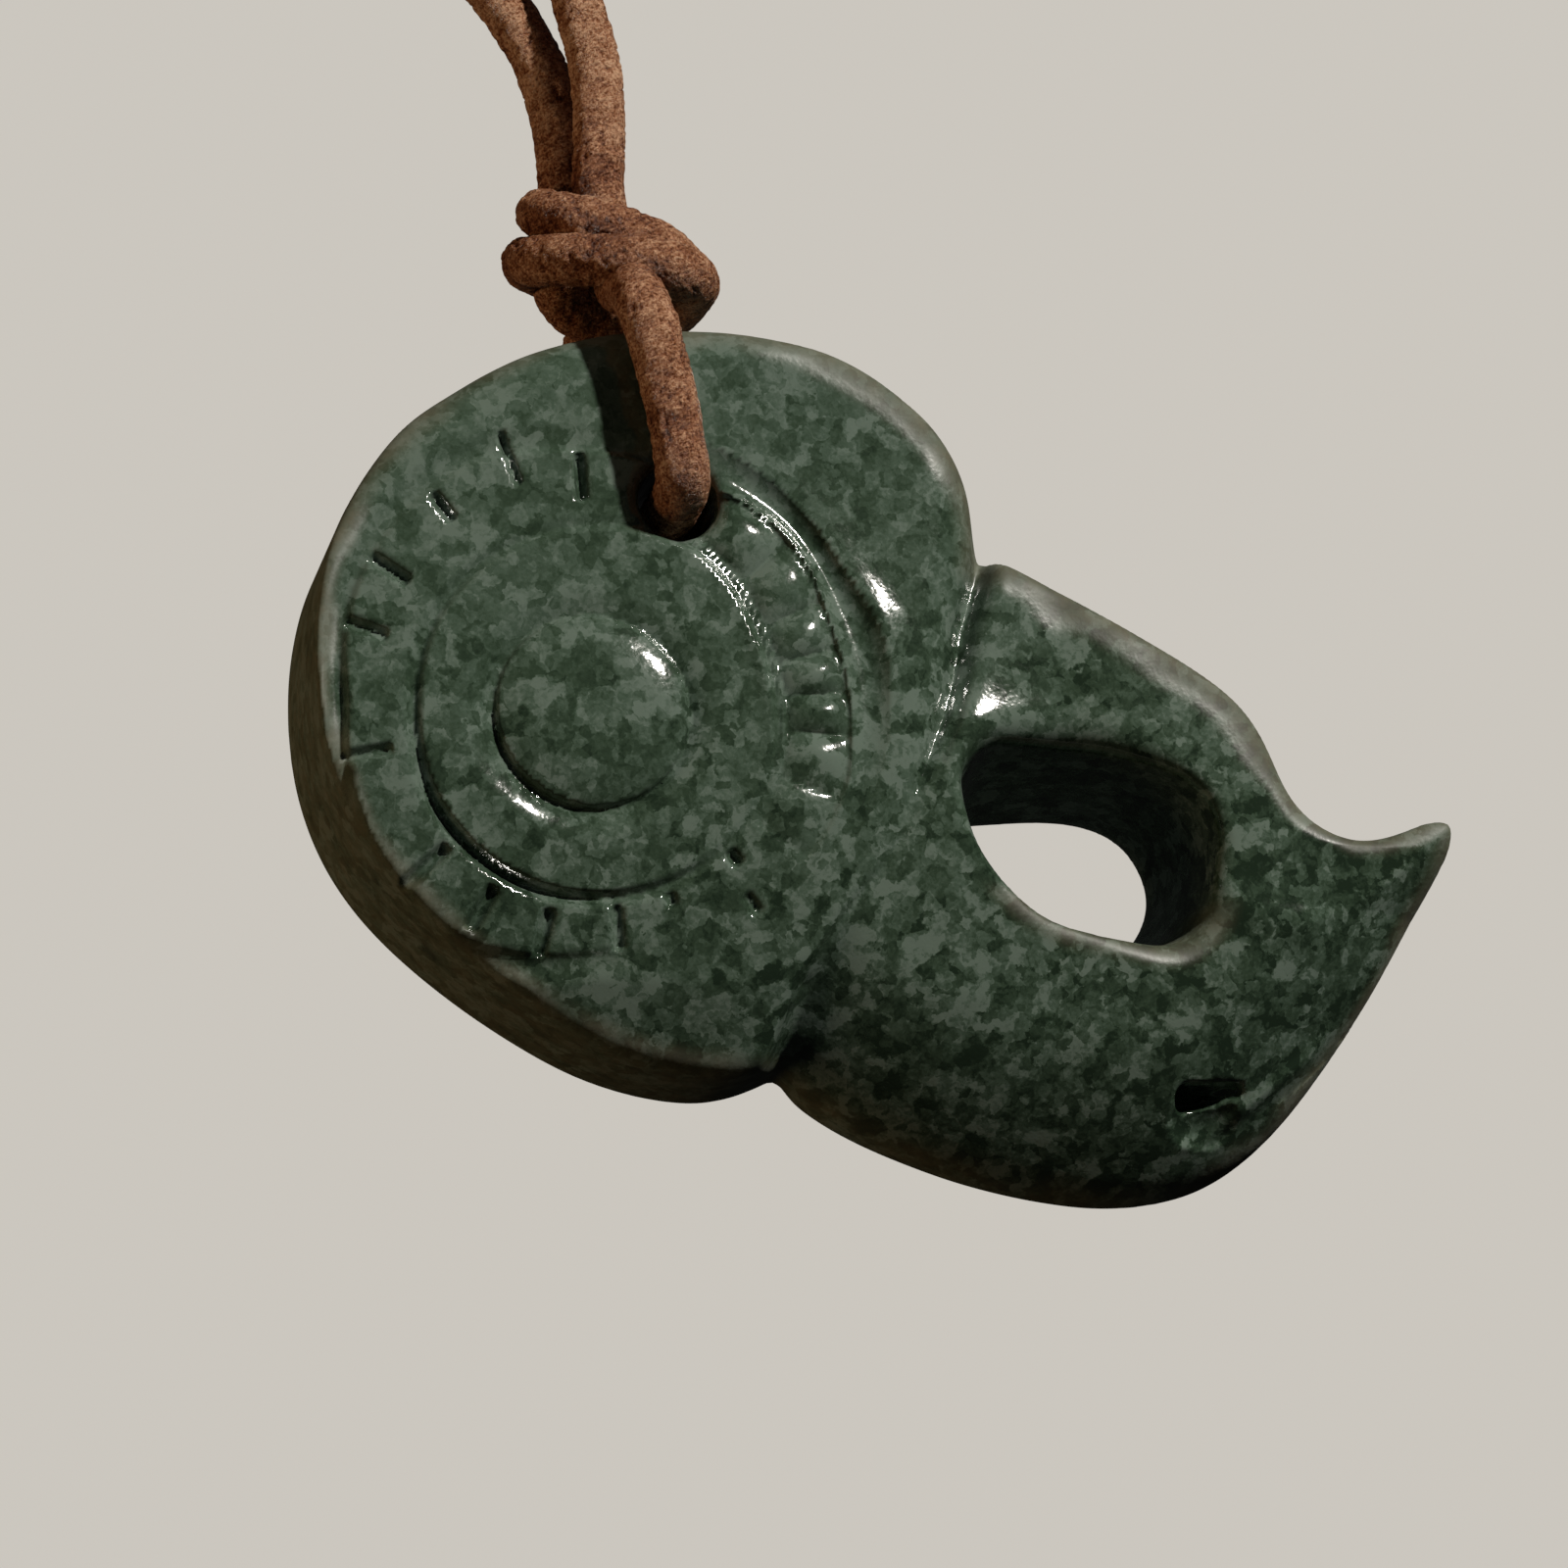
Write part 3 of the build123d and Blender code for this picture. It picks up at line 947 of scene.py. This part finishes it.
# How round the front rims are: angle, radius, of the pendant about the head's middle and of the hole about its own
EDGE_RIM = [
    (0, 0.8),
    (45, 0.8),
    (90, 1.1),
    (130, 1.1),
    (160, 0.5),
    (180, 0.4),
    (-150, 0.4),
    (-110, 0.5),
    (-80, 0.9),
    (-40, 1.2),
    (-20, 0.9),
]
HOLE_RIM = [
    (110, 1.5),
    (70, 1.2),
    (40, 0.6),
    (5, 0.6),
    (-45, 1.5),
    (-90, 0.65),
    (-150, 0.5),
    (180, 0.6),
    (135, 1.2),
]
# Scratched lines along the crease: points, depth, width
SCRATCHES = [
    ([(11.8, -5.4), (11.46, -7.03), (10.9, -8.7), (10.29, -10.2), (9.9, -11.4)], 0.17, 0.17),
    ([(12.15, -6.0), (11.9, -7.0), (11.5, -8.6), (10.9, -10.2)], 0.14, 0.16),
    ([(9.3, -13.4), (8.4, -14.8), (6.95, -16.7), (5.7, -18.8), (5.0, -21.7)], 0.12, 0.17),
]
NOSTRIL = [(21.9, -22.7), (24.1, -22.3)]
NOSTRIL_SCOOP = (22.8, -23.45)
NOSTRIL_RIDGE = [(21.6, -24.7), (23.2, -24.0), (25.2, -22.5), (27.2, -20.8), (28.6, -19.2)]
CHEEK_RIDGE = [(22.6, -15.0), (24.4, -15.6), (26.0, -15.8)]


def eye_relief(u, v):
    """What the ringed eye adds to the height of the face."""
    du, dv = u - EYE[0], v - EYE[1]
    rho, phi = np.hypot(du, dv), np.degrees(np.arctan2(dv, du))

    def pick(rows, column):
        return around([(row[0], row[column]) for row in rows], phi)

    # boss in its bowl
    r = np.hypot(du + 0.25, dv)
    dome = -0.12 + 0.38 * (1 - (r / 3.9) ** 4)
    bowl = -pick(BOSS, 1) * np.clip(1 - (r - 3.9) / pick(BOSS, 2), 0, 1) ** 1.7
    inside = rise(r, 3.78, 4.0)
    height = (1 - inside) * dome + inside * bowl
    # inner ring
    inner, cut = pick(INNER, 1), pick(INNER, 2)
    wall = rho - inner
    lip = around([(-40, 0.0), (-5, 0.05), (12, 0.11), (27, 0.11), (38, 0.04), (52, 0.02), (95, 0.0)], phi)
    height = height + lip * np.exp(-(((wall + 0.1) / 0.38) ** 2))
    climb = 0.72 * (1 - rise(wall, 0.15, 0.62)) + 0.28 * np.clip(1 - (wall - 0.15) / 1.0, 0, 1) ** 2
    height = height - cut * rise(wall, -0.18, 0.2) * np.where(wall > 0.15, climb, 1)
    # outer band
    band, cut = pick(BAND, 1), pick(BAND, 2)
    right = rise(phi, -38, -12) * (1 - rise(phi, 64, 84))
    second = around(SECOND, np.clip(phi, -20, 70))
    wall = rho - band
    left_cut = cut * rise(wall, -0.18, 0.2) * (1 - rise(wall, 0.35, 1.25))
    trough = np.clip(wall / (second - band), 0, 1)
    right_cut = cut * np.sin(pi * trough) ** 0.8
    height = height - (1 - right) * left_cut - right * right_cut
    height = height + right * 0.07 * np.exp(-((wall / 0.22) ** 2))
    crest = (rho - second - 0.1) / np.where(rho > second + 0.1, 0.8, 0.45)
    raised = around([(-20, 0.0), (3, 0.02), (12, 0.20), (24, 0.22), (33, 0.07), (55, 0.04), (75, 0.0)], phi)
    height = height + right * raised * np.exp(-(crest**2))
    # pads on the right of the band
    across = (wall + band - inner - 0.5) / (band - inner - 0.6) * 2 - 1
    on_pads = rise(phi, -35, -31) * (1 - rise(phi, 61, 64))
    on_pads = on_pads * rise(across, -1.15, -0.9) * (1 - rise(across, 0.9, 1.1))
    pad = np.zeros(np.shape(u))
    for high, low in zip(PADS[:-1], PADS[1:]):
        side = (phi - (high + low) / 2) / ((high - low) / 2)
        pad = np.maximum(pad, np.clip(1 - side**2, 0, 1) * np.clip(1 - across**2, 0, 1))
    fade = 0.45 + 0.55 * rise(phi, -25, 5)
    height = height + on_pads * fade * (0.4 * pad**0.8 - 0.23)
    for angle, start, end, wide, deep in NOTCHES:
        turn = (phi - angle + 180) % 360 - 180
        side = np.radians(turn) * rho
        length = rise(rho, start - 0.12, start + 0.15) * (1 - rise(rho, end - 0.15, end + 0.12))
        height = height - deep * length * np.exp(-(np.abs(side / wide) ** 2.6))
    return height


def carved_front(u, v):
    """The height of the carved face."""
    dh, db = read_field(head_field, u, v), read_field(beak_field, u, v)
    dc = crease_radius - np.hypot(u - crease_centre[0], v - crease_centre[1])
    fold_u = np.interp(v, [row[1] for row in CREASE[::-1]], [row[0] for row in CREASE[::-1]])
    fold = (fold_u - u) * 0.93
    along = np.clip((CREASE[0][1] - v) / (CREASE[0][1] - CREASE[-1][1]), 0, 1)
    fall = 0.0185 * np.clip(-9 - v, 0, None) ** 1.9  # the face curves back towards the lower edge

    # head
    theta = np.degrees(np.arctan2(v - HEAD_CENTRE[1], u - HEAD_CENTRE[0]))
    wide = around([(angle, reach) for angle, reach, _ in HEAD_BEVEL], theta)
    tilt = around([(angle, slope) for angle, _, slope in HEAD_BEVEL], theta)
    shore = (wide - dh + np.sqrt((wide - dh) ** 2 + 0.09)) / 2
    slope = np.interp(along, [0, 0.2, 0.45, 0.7, 1.0], [1.5, 1.0, 0.45, 0.15, 0.12])
    head = HEAD_FRONT - fall - tilt * shore - slope * np.clip(1 - fold / 2.8, 0, 1) ** 2.2 + eye_relief(u, v)

    # beak
    crest_v = np.interp(u, [8, 12.5, 16, 20], [-6.5, -8.4, -9.6, -11.5])
    above = smooth_min(np.clip((v - crest_v) * 0.9, 0, None), 1.4, 0.8)
    beak = BEAK_FRONT - 0.065 * np.clip(u - 11.5, 0, 4.5) - fall - 0.25 * rise(u, 24, 32)
    beak = beak - 0.18 * above * (1 - rise(u, 15.5, 19.0))
    gap, _ = line_gap(u, v, CHEEK_RIDGE)
    beak = beak + 0.2 * np.exp(-((gap / 0.9) ** 2))
    wide = np.interp(v, [-27, -20, -15, -12.5, -8, 0], [6.8, 6.2, 4.8, 2.4, 1.8, 1.8])
    low = np.interp(v, [-27, -20, -15, -12.5, -8, 0], [2.6, 2.3, 1.5, 0.3, 0.0, 0.0])
    beak = beak - low * np.clip(1 - db / wide, 0, 1) ** 1.9

    blend = rise(fold, -0.5, 0.5)
    front = blend * head + (1 - blend) * beak
    deep = np.interp(along, [0, 0.2, 0.4, 0.55, 1.0], [0.9, 0.6, 0.25, 0.0, 0.0])
    front = front - deep * np.exp(-((fold / 0.5) ** 2))
    for line, cut, wide in SCRATCHES:
        gap, share = line_gap(u, v, line)
        front = front - cut * np.sin(pi * np.clip(share, 0.08, 0.92)) ** 0.5 * np.exp(-((gap / wide) ** 2))

    # nostril and the fine ridge below it
    gap, t = line_gap(u, v, NOSTRIL)
    front = front - (1.4 - 1.0 * t) * (1 - rise(gap, 0.12, 0.62 - 0.2 * t))
    scoop = np.hypot((u - NOSTRIL_SCOOP[0]) / 1.6, (v - NOSTRIL_SCOOP[1]) / 1.15)
    front = front - 0.62 * np.clip(1 - scoop**2, 0, 1)
    gap, t = line_gap(u, v, NOSTRIL_RIDGE)
    front = front + 0.24 * np.sin(pi * np.clip(t, 0.02, 0.98)) * np.exp(-((gap / 0.3) ** 2))
    return front, dh, db, dc


def plain_back(dh, db, dc):
    """The height of the back, which is plain."""
    x = np.clip(1 - dh / 1.5, 0, 1)
    head = HEAD_BACK - 1.0 * (1 - np.sqrt(1 - x * x * 0.999))
    head = head - 0.6 * np.clip(1 - dc / 2.5, 0, 1) ** 2
    x = np.clip(1 - db / 1.5, 0, 1)
    beak = BEAK_BACK - 1.0 * (1 - np.sqrt(1 - x * x * 0.999))
    blend = rise(dc, -0.45, 0.45)
    return blend * head + (1 - blend) * beak - 0.4 * np.exp(-((dc / 0.7) ** 2))


def flat_fields(u, v):
    """What the form takes from the drawing: heights, how far in each outline, and how round the rims are."""
    front, dh, db, dc = carved_front(u, v)
    back = plain_back(dh, db, dc)
    edge = smooth_max(smooth_min(dh, dc + 0.3, 0.4), db, 0.25)
    spots = np.stack([u, v, np.zeros(np.shape(u))], -1)
    edge = edge + 0.07 * noise(spots, 4.0)
    front = front + 0.02 * noise(spots + 5.1, 2.6) * rise(edge, 0, 2)
    bore = BORE_RADIUS - np.hypot(u, v)
    theta = np.degrees(np.arctan2(v - HEAD_CENTRE[1], u - HEAD_CENTRE[0]))
    rim = around(EDGE_RIM, theta) * (1 + 0.3 * noise(spots + 9.7, 3.2))
    rim = rim * (1 - 0.6 * np.exp(-np.hypot(u - TIP[0], v - TIP[1]) / 1.5))
    turn = np.degrees(np.arctan2(v - HOLE_CENTRE[1], u - HOLE_CENTRE[0]))
    lip = around(HOLE_RIM, turn)
    return front, back, edge, bore, read_field(mouth_field, u, v), read_field(floor_field, u, v), rim, lip


def solid(fields, w):
    """Below zero inside the pendant, above it outside."""
    front, back, edge, bore, mouth, floor, rim, lip = fields
    body = smooth_max(w - front, -w - back, 0.5)
    body = smooth_max(body, -edge, np.where(w > 0, rim, 1.0))
    share = np.clip((w + 4.4) / 8.8, 0, 1)
    hole = floor + (mouth - floor) * share
    body = smooth_max(body, hole, np.where(w > 0, lip, 0.6))
    return smooth_max(body, bore, 0.7)


def surface_net(low, high, step):
    """Quads round the pendant's surface, one vertex for each cell that it crosses."""
    axes = [np.arange(a, b + gap, gap) for a, b, gap in zip(low, high, step)]
    u, v = np.meshgrid(axes[0], axes[1], indexing="ij")
    fields = [field[..., None] for field in flat_fields(u, v)]
    values = solid(fields, axes[2][None, None, :])
    inside = values < 0
    total = np.zeros(tuple(n - 1 for n in values.shape))
    spot = np.zeros(total.shape + (3,))
    corners = [(i, j, k) for i in (0, 1) for j in (0, 1) for k in (0, 1)]

    def corner(array, offset):
        return array[tuple(slice(o, array.shape[i] - 1 + o) for i, o in enumerate(offset))]

    for a in corners:
        for axis in range(3):
            if a[axis]:
                continue
            b = tuple(o + (i == axis) for i, o in enumerate(a))
            va, vb = corner(values, a), corner(values, b)
            crosses = (va < 0) != (vb < 0)
            t = np.where(crosses, va / np.where(crosses, va - vb, 1), 0)
            total += crosses
            for i in range(3):
                spot[..., i] += crosses * (a[i] + (t if i == axis else 0))
    active = total > 0
    index = np.full(total.shape, -1)
    index[active] = np.arange(active.sum())
    places = spot[active] / total[active][:, None] + np.argwhere(active)
    vertices = np.stack([axes[i][0] + places[:, i] * step[i] for i in range(3)], 1)
    quads = []
    for axis in range(3):
        one, two = [i for i in range(3) if i != axis]
        a = inside[tuple(slice(0, -1) if i == axis else slice(1, -1) for i in range(3))]
        b = inside[tuple(slice(1, None) if i == axis else slice(1, -1) for i in range(3))]
        for flips, forward in ((a & ~b, True), (~a & b, False)):
            base = np.argwhere(flips)
            base[:, one] += 1
            base[:, two] += 1
            ring = []
            for d_one, d_two in ((0, 0), (1, 0), (1, 1), (0, 1)):
                cell = base.copy()
                cell[:, one] -= 1 - d_one
                cell[:, two] -= 1 - d_two
                ring.append(index[tuple(cell.T)])
            ring = np.stack(ring, 1)
            if forward == (axis == 1):
                ring = ring[:, ::-1]
            quads.append(ring)
    return vertices, np.concatenate(quads)


def settle(points, turns, reach):
    """Points moved onto the pendant's surface, and the surface's normals there."""
    tiny = 0.02
    for turn in range(turns + 1):
        u, v, w = points.T
        fields = flat_fields(u, v)
        here = solid(fields, w)
        across = solid(flat_fields(u + tiny, v), w) - solid(flat_fields(u - tiny, v), w)
        up = solid(flat_fields(u, v + tiny), w) - solid(flat_fields(u, v - tiny), w)
        out = solid(fields, w + tiny) - solid(fields, w - tiny)
        slope = np.stack([across, up, out], 1) / (2 * tiny)
        size = np.maximum(np.linalg.norm(slope, axis=1), 0.2)
        if turn < turns:
            move = np.clip(here / size, -reach, reach)
            points = points - slope / size[:, None] * move[:, None]
    return points, slope / size[:, None]


def carved_pendant():
    """The pendant's mesh, finer on the carved face."""
    step = ((0.175, 0.175, 0.37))
    vertices, quads = surface_net((-16.2, -28.2, -6.0), (34.2, 9.2, 6.4), step)
    points, normals = settle(vertices, 3, 0.25)
    piece = mesh_object("jade_pendant", world(points), quads.tolist(), jade)
    away = (world(normals) - world([0, 0, 0])) * 1000
    piece.data.normals_split_custom_set_from_vertices([tuple(n) for n in away.tolist()])
    # worn rims, whose brown dust tint also paints a warm reflection on the outer rims and side walls: broader on
    # the upper right, and along the hole's lower rim in front
    u, v, w = points.T
    _, _, edge, _, mouth, _, _, _ = flat_fields(u, v)
    high, right = rise(v, -14, -9), rise(u, -3, 3)
    patchy = 0.35 * noise(points, 2.2)
    worn_and_reflecting_rims = 1 - rise(edge + patchy, 0.3 * high * right, 0.9 + 0.2 * high + 0.7 * high * right)
    lower = 0.7 * (1 - rise(np.abs(mouth), 0.3, 1.2)) * (1 - rise(v, -15.6, -14.8)) * rise(w, -1, 1)
    keep(piece, "wear_and_reflection_tint", np.maximum(worn_and_reflecting_rims, lower))
    return piece


pendant = carved_pendant()
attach(pendant, "pendant")
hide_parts("pendant")


# Floor and light


def light(name, place, aim, size, power, colour):
    """An area light that points at a spot, with the place and spot in the drawing, in millimetres."""
    lamp = bpy.data.lights.new(name, "AREA")
    lamp.shape = "DISK"
    lamp.size, lamp.energy, lamp.color = size, power, colour
    item = bpy.data.objects.new(name, lamp)
    start, end = Vector(world(place)), Vector(world(aim))
    item.location = start
    item.rotation_mode = "QUATERNION"
    item.rotation_quaternion = (end - start).to_track_quat("-Z", "Y")
    bpy.context.scene.collection.objects.link(item)
    return item


middle = np.array([7.0, -10.0, 0.0])
sun = np.array([0.44, 0.55, 0.71])
light("key", middle + sun / np.linalg.norm(sun) * 600, middle, 0.035, 4.3, (1.0, 0.95, 0.88))
fill = light("fill", middle + np.array([-300, 250, 500]), middle, 0.5, 0.08, (0.9, 0.95, 1.0))
warm = light("warm", middle + np.array([-480, -80, 50]), middle, 0.3, 0.8, (1.0, 0.70, 0.42))
fill.visible_glossy = warm.visible_glossy = False  # no glints in the grooves


def pale_world():
    """A plain pale surround that lights the model only a little."""
    room = bpy.data.worlds.new("surround")
    room.use_nodes = True
    bpy.context.scene.world = room
    nodes, links = room.node_tree.nodes, room.node_tree.links
    seen, dim = nodes["Background"], nodes.new("ShaderNodeBackground")
    seen.inputs["Color"].default_value = (0.60, 0.57, 0.52, 1)
    dim.inputs["Color"].default_value = (0.55, 0.56, 0.55, 1)
    dim.inputs["Strength"].default_value = 0.022
    path, mix = nodes.new("ShaderNodeLightPath"), nodes.new("ShaderNodeMixShader")
    links.new(path.outputs["Is Camera Ray"], mix.inputs[0])
    links.new(dim.outputs[0], mix.inputs[1])
    links.new(seen.outputs[0], mix.inputs[2])
    links.new(mix.outputs[0], nodes["World Output"].inputs[0])


pale_world()

material, nodes, links, surface = shader("floor")
surface.inputs["Base Color"].default_value = (0.62, 0.59, 0.54, 1)
surface.inputs["Roughness"].default_value = 0.9
FLOOR_RADIUS, FLOOR_HEIGHT, FLOOR_SIDES = 0.45, -0.24, 96
turns = np.linspace(0, 2 * pi, FLOOR_SIDES, endpoint=False)
floor_rim = np.stack([np.cos(turns), np.sin(turns), np.zeros(FLOOR_SIDES)], 1) * FLOOR_RADIUS + [0, 0, FLOOR_HEIGHT]
floor = mesh_object("floor", floor_rim, [tuple(range(FLOOR_SIDES))], material, smooth=False)
floor.visible_diffuse = floor.visible_glossy = False  # its light would fill the carving's shade

bpy.context.scene.view_settings.view_transform = "Standard"
bpy.context.scene.view_settings.look = "None"
